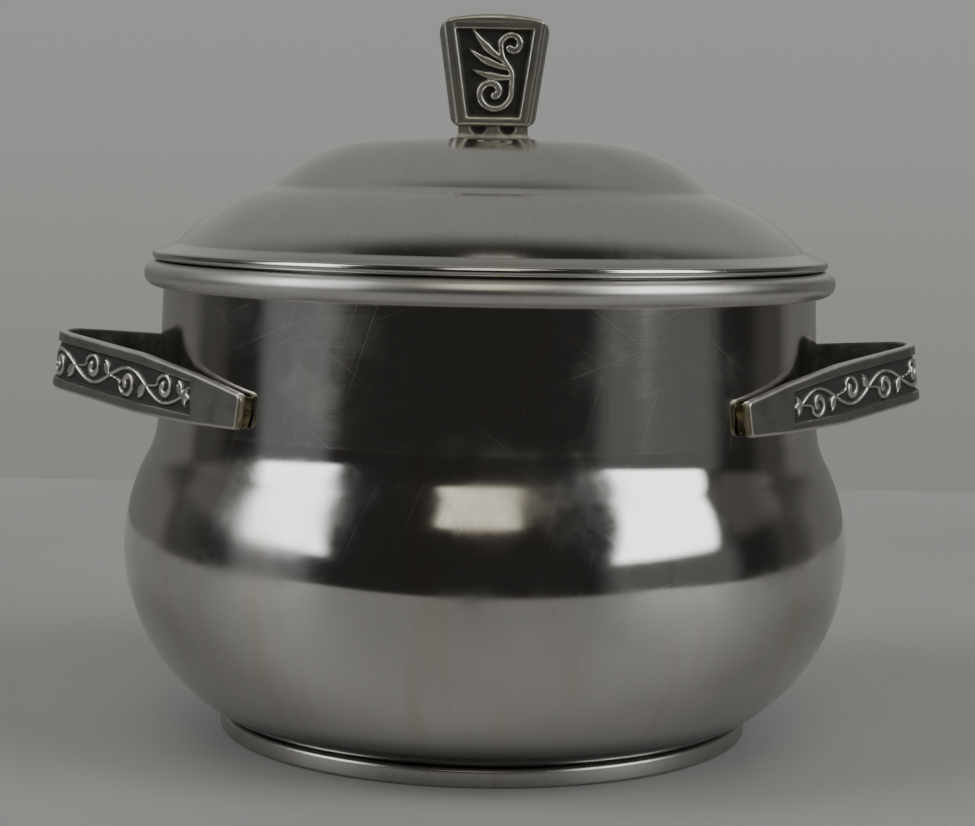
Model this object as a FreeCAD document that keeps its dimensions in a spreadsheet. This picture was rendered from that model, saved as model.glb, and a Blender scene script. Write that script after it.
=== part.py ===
"""Lidded sugar bowl: a spun steel bowl on a foot ring, two cast strap handles, a domed lid and a cast knob.

The origin is the centre of the foot ring's underside. +Z is up, the handles stand out along X, and the
knob's decorated faces look along Y. Lengths are millimetres.
"""
import FreeCAD, Part
import math
import os

import Sketcher

DOC = FreeCAD.newDocument("sugar_bowl")

# Driving dimensions. A radius or height whose name has no other frame is taken from the bowl's axis or foot.
DRIVING = [
    ("body_sheet", "0.8"),
    ("floor_z", "2.2"),
    ("belly_radius", "28.74"),
    ("belly_centre_r", "26.56"),
    ("belly_z", "28.28"),
    ("waist_radius", "13.0"),
    ("neck_base_r", "50.27"),
    ("neck_top_r", "49.46"),
    ("curl_radius", "1.88"),
    ("curl_z", "69.32"),
    ("curl_end_angle", "62"),
    ("foot_outer_r", "40.6"),
    ("foot_wall", "1.3"),
    ("foot_edge_radius", "0.5"),
    ("foot_shoulder", "0.7"),
    ("foot_solder_leg", "0.8"),
    ("lid_sheet", "0.7"),
    ("lid_rest_z", "71.4"),
    ("lid_edge_r", "51.2"),
    ("lid_edge_height", "1.45"),
    ("lid_hem_width", "2.2"),
    ("lid_dome_r", "47.6"),
    ("lid_dome_z", "73.86"),
    ("lid_lower_radius", "28.26"),
    ("lid_crease_r", "33.8"),
    ("lid_crease_z", "82.44"),
    ("lid_upper_radius", "25.03"),
    ("lid_flat_r", "15.8"),
    ("lid_top_z", "90.08"),
    ("lid_bend_r", "0.37"),
    ("lid_bend_z", "0.63"),
    ("collar_clearance", "0.75"),
    ("collar_sheet", "0.7"),
    ("collar_bottom_z", "66.4"),
    ("screw_hole_r", "1.7"),
    ("screw_shank_r", "1.45"),
    ("screw_head_r", "2.8"),
    ("screw_head_height", "1.8"),
    ("screw_grip", "7.5"),
    ("screw_slot_width", "0.8"),
    ("screw_slot_depth", "0.9"),
    ("washer_r", "3.6"),
    ("washer_height", "0.5"),
    ("knob_foot_length", "11.0"),
    ("knob_foot_width", "4.2"),
    ("knob_foot_height", "2.2"),
    ("knob_thickness", "5.2"),
    ("knob_base_z", "92.0"),
    ("knob_shoulder_z", "107.9"),
    ("knob_crown_z", "108.9"),
    ("knob_base_half", "6.3"),
    ("knob_top_half", "8.6"),
    ("knob_face_inset", "1.05"),
    ("knob_face_drop", "0.5"),
    ("knob_border", "1.25"),
    ("knob_recess_depth", "0.8"),
    ("knob_thread_r", "1.5"),
    ("knob_thread_depth", "8.5"),
    ("handle_reach", "66.1"),
    ("handle_z", "55.9"),
    ("handle_tilt", "7.6"),
    ("handle_leg_angle", "41.9"),
    ("handle_leg_r", "51.72"),
    ("handle_tail", "5.3"),
    ("handle_strap", "1.4"),
    ("handle_full_height", "8.8"),
    ("handle_panel_end_height", "7.1"),
    ("handle_end_height", "4.9"),
    ("handle_tab_length", "7.2"),
    ("handle_taper_length", "9.0"),
    ("handle_panel_height", "5.2"),
    ("handle_recess_depth", "0.5"),
    ("handle_corner_radius", "1.0"),
    ("solder_start", "2.0"),
    ("solder_overrun", "1.1"),
    ("solder_height", "4.4"),
]

# Sizes that follow from the driving ones.
DERIVED = [
    ("floor_r", "=dims.belly_centre_r + sqrt(dims.belly_radius^2 - (dims.belly_z - dims.floor_z)^2)"),
    ("floor_inner_r", "=dims.belly_centre_r + sqrt((dims.belly_radius - dims.body_sheet)^2"
                      " - (dims.belly_z - dims.floor_z - dims.body_sheet)^2)"),
    ("waist_centre_r", "=dims.neck_base_r + dims.waist_radius"),
    ("waist_share", "=dims.belly_radius / (dims.belly_radius + dims.waist_radius)"),
    ("waist_rise", "=sqrt((dims.belly_radius + dims.waist_radius)^2"
                   " - (dims.neck_base_r + dims.waist_radius - dims.belly_centre_r)^2)"),
    ("turn_r", "=dims.belly_centre_r + (waist_centre_r - dims.belly_centre_r) * waist_share"),
    ("turn_z", "=dims.belly_z + waist_rise * waist_share"),
    ("turn_inset_r", "=dims.body_sheet * (turn_r - dims.belly_centre_r) / dims.belly_radius"),
    ("turn_inset_z", "=dims.body_sheet * (turn_z - dims.belly_z) / dims.belly_radius"),
    ("neck_base_z", "=dims.belly_z + waist_rise"),
    ("mouth_r", "=dims.neck_top_r - dims.body_sheet"),
    ("curl_centre_r", "=mouth_r + dims.curl_radius"),
    ("curl_bore", "=dims.curl_radius - dims.body_sheet"),
    ("foot_inner_r", "=dims.foot_outer_r - dims.foot_wall"),
    ("foot_seat_r", "=dims.foot_outer_r - dims.foot_shoulder"),
    ("foot_seat_z", "=dims.belly_z - sqrt(dims.belly_radius^2 - (foot_seat_r - dims.belly_centre_r)^2)"),
    ("foot_inner_z", "=dims.belly_z - sqrt(dims.belly_radius^2 - (foot_inner_r - dims.belly_centre_r)^2)"),
    ("lid_brim_z", "=dims.lid_rest_z + dims.lid_edge_height"),
    ("lid_edge_radius", "=dims.lid_edge_height / 2"),
    ("lid_brim_r", "=dims.lid_edge_r - lid_edge_radius"),
    ("lid_brim_slope", "=(dims.lid_dome_z - lid_brim_z) / (lid_brim_r - dims.lid_dome_r)"),
    ("lid_hem_r", "=dims.lid_edge_r - dims.lid_hem_width"),
    ("lid_hem_z", "=dims.lid_dome_z - (lid_hem_r - dims.lid_dome_r) * lid_brim_slope - dims.lid_sheet"),
    ("lid_under_r", "=dims.lid_dome_r - 0.5 * dims.lid_sheet"),
    ("lid_under_z", "=dims.lid_dome_z + 0.5 * dims.lid_sheet * lid_brim_slope - dims.lid_sheet"),
    ("collar_r", "=mouth_r - dims.collar_clearance"),
    ("collar_inner_r", "=collar_r - dims.collar_sheet"),
    ("collar_top_z", "=dims.lid_dome_z - (collar_r - dims.lid_dome_r) * lid_brim_slope - dims.lid_sheet"),
    ("washer_top_z", "=dims.lid_top_z - dims.lid_sheet"),
    ("washer_base_z", "=washer_top_z - dims.washer_height"),
    ("screw_base_z", "=washer_base_z - dims.screw_head_height"),
    ("screw_tip_z", "=dims.lid_top_z + dims.screw_grip"),
    ("handle_tip_radius", "=(dims.handle_leg_r - dims.handle_reach * cos(dims.handle_leg_angle * 1 deg))"
                          " / (1 - cos(dims.handle_leg_angle * 1 deg))"),
    ("handle_tip_centre", "=dims.handle_reach - handle_tip_radius"),
    ("handle_end_x", "=dims.handle_leg_r * cos(dims.handle_leg_angle * 1 deg)"
                     " - dims.handle_tail * sin(dims.handle_leg_angle * 1 deg)"),
    ("handle_end_y", "=dims.handle_leg_r * sin(dims.handle_leg_angle * 1 deg)"
                     " + dims.handle_tail * cos(dims.handle_leg_angle * 1 deg)"),
    ("handle_bend_x", "=handle_tip_centre + handle_tip_radius * cos(dims.handle_leg_angle * 1 deg)"),
    ("handle_bend_y", "=handle_tip_radius * sin(dims.handle_leg_angle * 1 deg)"),
    ("strap_x", "=dims.handle_strap * cos(dims.handle_leg_angle * 1 deg)"),
    ("strap_y", "=dims.handle_strap * sin(dims.handle_leg_angle * 1 deg)"),
    ("recess_x", "=dims.handle_recess_depth * cos(dims.handle_leg_angle * 1 deg)"),
    ("recess_y", "=dims.handle_recess_depth * sin(dims.handle_leg_angle * 1 deg)"),
    ("panel_x", "=handle_end_x + dims.handle_tab_length"),
    ("panel_y", "=handle_end_y - dims.handle_tab_length / tan(dims.handle_leg_angle * 1 deg)"),
]


def make_sheet(name, rows):
    """Add a spreadsheet with one aliased cell per row."""
    sheet = DOC.addObject("Spreadsheet::Sheet", name)
    for number, (alias, text) in enumerate(rows, start=1):
        sheet.set(f"A{number}", alias)
        sheet.set(f"B{number}", text)
        sheet.setAlias(f"B{number}", alias)
    DOC.recompute()
    return sheet


DIMS = make_sheet("dims", DRIVING)
MORE = make_sheet("more", DERIVED)


def value(expression):
    """The number that a sheet expression stands for."""
    return float(DIMS.evalExpression(expression))


def new_body(name):
    """A PartDesign body whose label names its file."""
    body = DOC.addObject("PartDesign::Body", name)
    body.Label = name
    return body


def origin_part(body, role):
    """The origin plane or axis of a body that has the given role."""
    return next(part for part in body.Origin.OriginFeatures if part.Role == role)


def new_sketch(body, name, plane="XZ_Plane", offset=None):
    """A sketch on one of the body's origin planes, moved along the plane's normal by an expression."""
    sketch = body.newObject("Sketcher::SketchObject", name)
    sketch.AttachmentSupport = [(origin_part(body, plane), "")]
    sketch.MapMode = "FlatFace"
    if offset is not None:
        sketch.setExpression("AttachmentOffset.Base.z", offset)
    return sketch


def place_point(sketch, edge, end, direction, expression):
    """Hold one coordinate of a point at an expression's value; zero puts the point on the axis."""
    size = value(expression)
    if abs(size) < 1e-9:
        axis = -2 if direction == "DistanceX" else -1
        sketch.addConstraint(Sketcher.Constraint("PointOnObject", edge, end, axis))
    elif size > 0:
        index = sketch.addConstraint(Sketcher.Constraint(direction, -1, 1, edge, end, size))
        sketch.setExpression(f"Constraints[{index}]", expression)
    else:
        index = sketch.addConstraint(Sketcher.Constraint(direction, edge, end, -1, 1, -size))
        sketch.setExpression(f"Constraints[{index}]", f"-({expression})")


def arc_between(start, end, radius, turn):
    """The arc under 180 degrees from start to end; turn is +1 anticlockwise and -1 clockwise."""
    chord = end - start
    left = FreeCAD.Vector(-chord.y, chord.x, 0).normalize()
    height = math.sqrt(max(radius ** 2 - (chord.Length / 2) ** 2, 0))
    centre = (start + end) / 2 + left * (turn * height)
    first, last = (start, end) if turn > 0 else (end, start)
    angles = [math.atan2(point.y - centre.y, point.x - centre.x) for point in (first, last)]
    circle = Part.Circle(centre, FreeCAD.Vector(0, 0, 1), radius)
    return Part.ArcOfCircle(circle, angles[0], angles[1])


def draw_outline(sketch, corners, arcs=None):
    """Draw a closed outline through corners, each a pair of expressions.

    arcs maps the number of a corner to (radius expression, turn) of the arc that leaves it.
    """
    arcs = arcs or {}
    points = [FreeCAD.Vector(value(x), value(y), 0) for x, y in corners]
    starts = {}
    ends = {}
    for number, point in enumerate(points):
        following = points[(number + 1) % len(points)]
        if number in arcs:
            radius, turn = arcs[number]
            edge = sketch.addGeometry(arc_between(point, following, value(radius), turn), False)
            starts[number], ends[number] = (1, 2) if turn > 0 else (2, 1)
        else:
            edge = sketch.addGeometry(Part.LineSegment(point, following), False)
            starts[number], ends[number] = 1, 2
    for number in range(len(points)):
        following = (number + 1) % len(points)
        joint = Sketcher.Constraint("Coincident", number, ends[number], following, starts[following])
        sketch.addConstraint(joint)
    for number, (x, y) in enumerate(corners):
        place_point(sketch, number, starts[number], "DistanceX", x)
        place_point(sketch, number, starts[number], "DistanceY", y)
    for number, (radius, _) in arcs.items():
        index = sketch.addConstraint(Sketcher.Constraint("Radius", number, value(radius)))
        sketch.setExpression(f"Constraints[{index}]", radius)


def draw_circle(sketch, radius):
    """Draw a circle about the sketch's origin."""
    up = FreeCAD.Vector(0, 0, 1)
    sketch.addGeometry(Part.Circle(FreeCAD.Vector(0, 0, 0), up, value(radius)), False)
    sketch.addConstraint(Sketcher.Constraint("Coincident", 0, 3, -1, 1))
    index = sketch.addConstraint(Sketcher.Constraint("Radius", 0, value(radius)))
    sketch.setExpression(f"Constraints[{index}]", radius)


def revolve(body, sketch, kind="Revolution"):
    """Turn a sketch of the XZ plane once about the bowl's axis."""
    feature = body.newObject(f"PartDesign::{kind}", f"{body.Name}_{kind.lower()}")
    feature.Profile = sketch
    feature.ReferenceAxis = (sketch, ["V_Axis"])
    feature.Angle = 360
    return feature


def spun_part(name, corners, arcs=None):
    """A body turned from one section, given as radius and height."""
    body = new_body(name)
    sketch = new_sketch(body, f"{name}_section")
    draw_outline(sketch, corners, arcs)
    revolve(body, sketch)
    return body


def pad(body, sketch, length, symmetric=False, name="pad"):
    """Pad a sketch by a length expression."""
    feature = body.newObject("PartDesign::Pad", f"{body.Name}_{name}")
    feature.Profile = sketch
    feature.Midplane = symmetric
    feature.setExpression("Length", length)
    return feature


def pocket(body, sketch, length, symmetric=False, reverse=False, name="pocket"):
    """Cut a sketch's prism out of the body, and make sure that it takes something away."""
    DOC.recompute()
    before = body.Shape.Volume
    feature = body.newObject("PartDesign::Pocket", f"{body.Name}_{name}")
    feature.Profile = sketch
    feature.Midplane = symmetric
    feature.Reversed = reverse
    feature.setExpression("Length", length)
    DOC.recompute()
    if body.Shape.Volume > before - 1e-3:
        raise RuntimeError(f"{feature.Name} cuts nothing")
    return feature


def make_bowl_shell():
    """The bowl: flat floor, round belly, waist, slightly conical neck and a hollow curl round the mouth."""
    cos_end = "cos(dims.curl_end_angle * 1 deg)"
    sin_end = "sin(dims.curl_end_angle * 1 deg)"
    outer = "dims.curl_radius"
    bore = "more.curl_bore"
    corners = [
        ("0", "dims.floor_z"),
        ("more.floor_r", "dims.floor_z"),
        ("more.turn_r", "more.turn_z"),
        ("dims.neck_base_r", "more.neck_base_z"),
        ("dims.neck_top_r", "dims.curl_z"),
        ("more.curl_centre_r", f"dims.curl_z + {bore}"),
        (f"more.curl_centre_r + {bore}", "dims.curl_z"),
        ("more.curl_centre_r", f"dims.curl_z - {bore}"),
        (f"more.curl_centre_r - {bore} * {cos_end}", f"dims.curl_z - {bore} * {sin_end}"),
        (f"more.curl_centre_r - {outer} * {cos_end}", f"dims.curl_z - {outer} * {sin_end}"),
        ("more.curl_centre_r", f"dims.curl_z - {outer}"),
        (f"more.curl_centre_r + {outer}", "dims.curl_z"),
        ("more.curl_centre_r", f"dims.curl_z + {outer}"),
        ("more.mouth_r", "dims.curl_z"),
        ("dims.neck_base_r - dims.body_sheet", "more.neck_base_z"),
        ("more.turn_r - more.turn_inset_r", "more.turn_z - more.turn_inset_z"),
        ("more.floor_inner_r", "dims.floor_z + dims.body_sheet"),
        ("0", "dims.floor_z + dims.body_sheet"),
    ]
    arcs = {
        1: ("dims.belly_radius", 1),
        2: ("dims.waist_radius", -1),
        4: (bore, -1),
        5: (bore, -1),
        6: (bore, -1),
        7: (bore, -1),
        9: (outer, 1),
        10: (outer, 1),
        11: (outer, 1),
        12: (outer, 1),
        14: ("dims.waist_radius + dims.body_sheet", 1),
        15: ("dims.belly_radius - dims.body_sheet", -1),
    }
    return spun_part("bowl_shell", corners, arcs)


def make_foot_ring():
    """The band that the bowl stands on; its top follows the belly, and its outer shoulder is rounded."""
    corners = [
        ("more.foot_inner_r", "0"),
        ("dims.foot_outer_r - dims.foot_edge_radius", "0"),
        ("dims.foot_outer_r", "dims.foot_edge_radius"),
        ("dims.foot_outer_r", "more.foot_seat_z - dims.foot_shoulder"),
        ("more.foot_seat_r", "more.foot_seat_z"),
        ("more.foot_inner_r", "more.foot_inner_z"),
    ]
    arcs = {
        1: ("dims.foot_edge_radius", 1),
        3: ("dims.foot_shoulder", 1),
        4: ("dims.belly_radius", -1),
    }
    return spun_part("foot_ring", corners, arcs)


def make_foot_solder():
    """The fillet of solder inside the foot ring, in the corner under the bowl's floor."""
    corners = [
        ("more.foot_inner_r - dims.foot_solder_leg", "dims.floor_z"),
        ("more.foot_inner_r", "dims.floor_z - dims.foot_solder_leg"),
        ("more.foot_inner_r", "more.foot_inner_z"),
        ("more.floor_r", "dims.floor_z"),
    ]
    return spun_part("foot_ring_solder", corners, {2: ("dims.belly_radius", -1)})


def make_lid_shell():
    """The lid: hemmed brim, lower dome, crease, upper dome and a flat top with the knob's screw hole."""
    corners = [
        ("dims.screw_hole_r", "more.washer_top_z"),
        ("dims.lid_flat_r", "more.washer_top_z"),
        ("dims.lid_crease_r - dims.lid_bend_r", "dims.lid_crease_z - dims.lid_bend_z"),
        ("more.lid_under_r", "more.lid_under_z"),
        ("more.lid_hem_r", "more.lid_hem_z"),
        ("more.lid_hem_r", "dims.lid_rest_z"),
        ("more.lid_brim_r", "dims.lid_rest_z"),
        ("dims.lid_edge_r", "dims.lid_rest_z + more.lid_edge_radius"),
        ("more.lid_brim_r", "more.lid_brim_z"),
        ("dims.lid_dome_r", "dims.lid_dome_z"),
        ("dims.lid_crease_r", "dims.lid_crease_z"),
        ("dims.lid_flat_r", "dims.lid_top_z"),
        ("dims.screw_hole_r", "dims.lid_top_z"),
    ]
    arcs = {
        1: ("dims.lid_upper_radius - dims.lid_sheet", -1),
        2: ("dims.lid_lower_radius - dims.lid_sheet", -1),
        6: ("more.lid_edge_radius", 1),
        7: ("more.lid_edge_radius", 1),
        9: ("dims.lid_lower_radius", 1),
        10: ("dims.lid_upper_radius", 1),
    }
    return spun_part("lid_shell", corners, arcs)


def make_lid_collar():
    """The ring welded under the lid, which drops into the mouth and keeps the lid central."""
    corners = [
        ("more.collar_inner_r", "dims.collar_bottom_z"),
        ("more.collar_r", "dims.collar_bottom_z"),
        ("more.collar_r", "more.collar_top_z"),
        ("more.lid_under_r", "more.lid_under_z"),
        ("more.collar_inner_r", "more.lid_under_z"),
    ]
    return spun_part("lid_locating_ring", corners)


def make_washer():
    """The flat washer between the screw's head and the lid."""
    corners = [
        ("dims.screw_hole_r", "more.washer_base_z"),
        ("dims.washer_r", "more.washer_base_z"),
        ("dims.washer_r", "more.washer_top_z"),
        ("dims.screw_hole_r", "more.washer_top_z"),
    ]
    return spun_part("knob_washer", corners)


def make_screw():
    """The slotted screw that pulls the knob down on the lid."""
    corners = [
        ("0", "more.screw_base_z"),
        ("dims.screw_head_r", "more.screw_base_z"),
        ("dims.screw_head_r", "more.washer_base_z"),
        ("dims.screw_shank_r", "more.washer_base_z"),
        ("dims.screw_shank_r", "more.screw_tip_z"),
        ("0", "more.screw_tip_z"),
    ]
    body = spun_part("knob_screw", corners)
    slot = new_sketch(body, "knob_screw_slot_section")
    half = "dims.screw_slot_width / 2"
    top = "more.screw_base_z + dims.screw_slot_depth"
    draw_outline(slot, [
        (f"-({half})", "more.screw_base_z"),
        (half, "more.screw_base_z"),
        (half, top),
        (f"-({half})", top),
    ])
    pocket(body, slot, "4 * dims.screw_head_r", symmetric=True, name="slot")
    return body


def knob_outline(sketch, inset, drop):
    """The knob's upright outline, narrower by inset on each side and lower by drop along its top."""
    base = f"dims.knob_base_half - {inset}"
    top = f"dims.knob_top_half - {inset}"
    shoulder = f"dims.knob_shoulder_z - {drop}"
    crown = f"dims.knob_crown_z - {drop}"
    radius = f"(({top})^2 + ({crown} - ({shoulder}))^2) / (2 * ({crown} - ({shoulder})))"
    corners = [
        (f"-({base})", "dims.knob_base_z"),
        (base, "dims.knob_base_z"),
        (top, shoulder),
        ("0", crown),
        (f"-({top})", shoulder),
    ]
    draw_outline(sketch, corners, {2: (radius, 1), 3: (radius, 1)})


def make_knob():
    """The cast knob: a plate wider at its top, thickest between its two sunk faces, on a short foot."""
    body = new_body("knob")
    front = "dims.knob_thickness / 2"
    sections = []
    for name, offset, inset, drop in (
        ("knob_front_section", front, "dims.knob_face_inset", "dims.knob_face_drop"),
        ("knob_middle_section", "0 * dims.knob_thickness", "0", "0"),
        ("knob_back_section", f"-({front})", "dims.knob_face_inset", "dims.knob_face_drop"),
    ):
        section = new_sketch(body, name, offset=offset)
        knob_outline(section, inset, drop)
        sections.append(section)
    loft = body.newObject("PartDesign::AdditiveLoft", "knob_plate")
    loft.Profile = sections[0]
    loft.Sections = sections[1:]
    loft.Ruled = True
    foot = new_sketch(body, "knob_foot_section", "XY_Plane", "dims.lid_top_z")
    half_x = "dims.knob_foot_length / 2"
    half_y = "dims.knob_foot_width / 2"
    draw_outline(foot, [
        (f"-({half_x})", f"-({half_y})"),
        (half_x, f"-({half_y})"),
        (half_x, half_y),
        (f"-({half_x})", half_y),
    ])
    pad(body, foot, "dims.knob_foot_height", name="foot")
    thread = new_sketch(body, "knob_thread_section", "XY_Plane", "dims.lid_top_z")
    draw_circle(thread, "dims.knob_thread_r")
    pocket(body, thread, "dims.knob_thread_depth", reverse=True, name="thread")
    for name, offset, reverse in (("front", front, False), ("back", f"-({front})", True)):
        recess = new_sketch(body, f"knob_{name}_recess_section", offset=offset)
        side = "(dims.knob_face_inset + dims.knob_border)"
        low = "dims.knob_base_z + dims.knob_border"
        high = "dims.knob_shoulder_z - dims.knob_border"
        base = f"dims.knob_base_half - {side}"
        top = f"dims.knob_top_half - {side}"
        draw_outline(recess, [(f"-({base})", low), (base, low), (top, high), (f"-({top})", high)])
        pocket(body, recess, "dims.knob_recess_depth", reverse=reverse, name=f"{name}_recess")
    return body


def handle_placement(turn):
    """Where a handle's own plane lies: through the strap's middle at its tip, rising outward by the tilt.

    turn is 0 degrees for the handle on +X and 180 for the one on -X.
    """
    tilt = math.radians(value("dims.handle_tilt"))
    reach = value("dims.handle_reach")
    shift = FreeCAD.Vector(reach * (1 - math.cos(tilt)), 0, value("dims.handle_z") - reach * math.sin(tilt))
    tilted = FreeCAD.Placement(shift, FreeCAD.Rotation(FreeCAD.Vector(0, 1, 0), -math.degrees(tilt)))
    turned = FreeCAD.Placement(FreeCAD.Vector(0, 0, 0), FreeCAD.Rotation(FreeCAD.Vector(0, 0, 1), turn))
    return turned * tilted


def strap_outline(sketch, end_x, end_y, depth_x, depth_y, depth):
    """A band of the strap in plan: from one end along a straight leg, round the tip and back."""
    bend = ("more.handle_bend_x", "more.handle_bend_y")
    inner_end = (f"{end_x} - {depth_x}", f"{end_y} - {depth_y}")
    inner_bend = (f"{bend[0]} - {depth_x}", f"{bend[1]} - {depth_y}")
    corners = [
        (end_x, f"-({end_y})"),
        (bend[0], f"-({bend[1]})"),
        ("dims.handle_reach", "0"),
        bend,
        (end_x, end_y),
        inner_end,
        inner_bend,
        (f"dims.handle_reach - {depth}", "0"),
        (inner_bend[0], f"-({inner_bend[1]})"),
        (inner_end[0], f"-({inner_end[1]})"),
    ]
    arcs = {
        1: ("more.handle_tip_radius", 1),
        2: ("more.handle_tip_radius", 1),
        6: (f"more.handle_tip_radius - {depth}", -1),
        7: (f"more.handle_tip_radius - {depth}", -1),
    }
    draw_outline(sketch, corners, arcs)


def make_handle(name, turn):
    """A cast strap handle: the band in plan, tapered towards both ends, with a sunk panel outside."""
    body = new_body(name)
    plan = new_sketch(body, f"{name}_plan", "XY_Plane")
    strap_outline(plan, "more.handle_end_x", "more.handle_end_y", "more.strap_x", "more.strap_y",
                  "dims.handle_strap")
    pad(body, plan, "dims.handle_full_height", symmetric=True, name="strap")
    start = "more.handle_end_x - 2 * dims.handle_strap"
    tab = "more.handle_end_x + dims.handle_tab_length"
    full = f"{tab} + dims.handle_taper_length"
    for side in ("", "-"):
        taper = new_sketch(body, f"{name}_taper_{'top' if side == '' else 'bottom'}")
        draw_outline(taper, [
            (start, f"{side}(dims.handle_end_height / 2)"),
            ("more.handle_end_x", f"{side}(dims.handle_end_height / 2)"),
            (tab, f"{side}(dims.handle_panel_end_height / 2)"),
            (full, f"{side}(dims.handle_full_height / 2)"),
            (start, f"{side}(dims.handle_full_height / 2)"),
        ])
        pocket(body, taper, "2 * dims.handle_reach", symmetric=True,
               name=f"taper_{'top' if side == '' else 'bottom'}")
    panel = new_sketch(body, f"{name}_panel_plan", "XY_Plane")
    strap_outline(panel, "more.panel_x", "more.panel_y", "more.recess_x", "more.recess_y",
                  "dims.handle_recess_depth")
    pocket(body, panel, "dims.handle_panel_height", symmetric=True, name="panel")
    ends = [
        f"Edge{number}"
        for number, edge in enumerate(body.Shape.Edges, start=1)
        if abs(edge.Length - value("dims.handle_strap")) < 1e-3
        and edge.CenterOfMass.x < value("more.handle_end_x") + 1e-3
    ]
    strap = body.Tip
    corners = body.newObject("PartDesign::Fillet", f"{name}_corners")
    corners.Base = (strap, ends)
    corners.setExpression("Radius", "dims.handle_corner_radius")
    DOC.recompute()
    body.Placement = handle_placement(turn)
    return body


def make_handle_solder(name, turn):
    """The two wedges of solder that fill between a handle's tabs and the neck."""
    angle = value("dims.handle_leg_angle")
    face_r = value("dims.handle_leg_r - dims.handle_strap")
    tail_end = value("dims.handle_tail + dims.solder_overrun")
    length = value("2 * dims.body_sheet")
    width = tail_end - value("dims.solder_start")
    height = value("dims.solder_height")
    wedges = []
    for side in (-1, 1):
        lump = DOC.addObject("Part::Box", f"{name}_lump_{'front' if side < 0 else 'back'}")
        lump.setExpression("Length", "2 * dims.body_sheet")
        lump.setExpression("Width", "dims.handle_tail + dims.solder_overrun - dims.solder_start")
        lump.setExpression("Height", "dims.solder_height")
        along = -tail_end if side < 0 else tail_end - width
        corner = FreeCAD.Vector(face_r - length, along, -height / 2)
        leg = FreeCAD.Rotation(FreeCAD.Vector(0, 0, 1), side * angle)
        lump.Placement = handle_placement(turn) * FreeCAD.Placement(leg.multVec(corner), leg)
        wedges.append(lump)
    both = DOC.addObject("Part::MultiFuse", f"{name}_lumps")
    both.Shapes = wedges
    neck = DOC.addObject("Part::Cone", f"{name}_neck")
    neck.setExpression("Radius1", "dims.neck_base_r")
    neck.setExpression("Radius2", "dims.neck_top_r")
    neck.setExpression("Height", "dims.curl_z - more.neck_base_z")
    neck.Placement = FreeCAD.Placement(FreeCAD.Vector(0, 0, value("more.neck_base_z")), FreeCAD.Rotation())
    solder = DOC.addObject("Part::Cut", name)
    solder.Base = both
    solder.Tool = neck
    solder.Label = name
    return solder


PIECES = [
    make_bowl_shell(),
    make_foot_ring(),
    make_foot_solder(),
    make_lid_shell(),
    make_lid_collar(),
    make_washer(),
    make_screw(),
    make_knob(),
    make_handle("right_handle", 0),
    make_handle("left_handle", 180),
    make_handle_solder("right_handle_solder", 0),
    make_handle_solder("left_handle_solder", 180),
]
DOC.recompute()

for item in DOC.Objects:
    if "Invalid" in item.State or "Error" in item.State:
        raise RuntimeError(f"{item.Label} failed: {item.State}")
for piece in PIECES:
    if piece.Shape.isNull() or not piece.Shape.isValid():
        raise RuntimeError(f"{piece.Label} has no valid shape")

os.makedirs("parts", exist_ok=True)
for piece in PIECES:
    piece.Shape.exportStep(os.path.join("parts", f"{piece.Label}.step"))
    solids = len(piece.Shape.Solids)
    print(f"{piece.Label}: {solids} solid(s), {piece.Shape.Volume / 1000:.3f} cm3")
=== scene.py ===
import math

import bpy
import numpy as np
from mathutils import Matrix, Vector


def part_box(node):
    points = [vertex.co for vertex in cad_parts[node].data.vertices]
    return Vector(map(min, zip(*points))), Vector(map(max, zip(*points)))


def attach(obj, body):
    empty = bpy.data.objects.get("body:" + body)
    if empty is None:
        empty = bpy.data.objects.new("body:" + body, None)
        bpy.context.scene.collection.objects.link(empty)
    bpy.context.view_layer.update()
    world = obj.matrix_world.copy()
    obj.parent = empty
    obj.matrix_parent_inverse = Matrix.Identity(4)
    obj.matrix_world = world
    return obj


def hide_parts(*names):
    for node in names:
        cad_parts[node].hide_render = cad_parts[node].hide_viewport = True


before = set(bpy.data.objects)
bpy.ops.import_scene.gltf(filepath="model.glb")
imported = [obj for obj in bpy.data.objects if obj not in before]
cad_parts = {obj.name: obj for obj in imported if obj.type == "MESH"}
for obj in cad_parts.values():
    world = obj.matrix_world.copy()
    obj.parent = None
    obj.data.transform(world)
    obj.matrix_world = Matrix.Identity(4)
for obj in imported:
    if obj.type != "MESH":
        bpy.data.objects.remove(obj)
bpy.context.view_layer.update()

MM = 0.001

# ---------------------------------------------------------------- sizes, in millimetres, from the frame


def node_box(node):
    """Lowest and highest corner of a CAD node, in millimetres."""
    low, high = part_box(node)
    return low / MM, high / MM


BOWL_LOW, BOWL_HIGH = node_box("bowl_shell")
FOOT_HIGH = node_box("foot_ring")[1]
LID_LOW, LID_HIGH = node_box("lid_shell")

# Bowl. The belly is one arc, the waist a hollow one, and the neck is slightly conical.
SHEET = 0.8
FLOOR_Z = BOWL_LOW.z
BELLY_RADIUS = 28.74
BELLY_R = BOWL_HIGH.x - BELLY_RADIUS
BELLY_Z = 28.28
WAIST_RADIUS = 13.0
NECK_BASE_R = 50.27
NECK_TOP_R = 49.46
CURL_RADIUS = 1.88
CURL_Z = BOWL_HIGH.z - CURL_RADIUS
CURL_END = math.radians(62)
MOUTH_R = NECK_TOP_R - SHEET

# Foot ring.
FOOT_R = FOOT_HIGH.x
FOOT_WALL = 1.3
FOOT_EDGE = 0.5
FOOT_SHOULDER = 0.7

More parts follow.
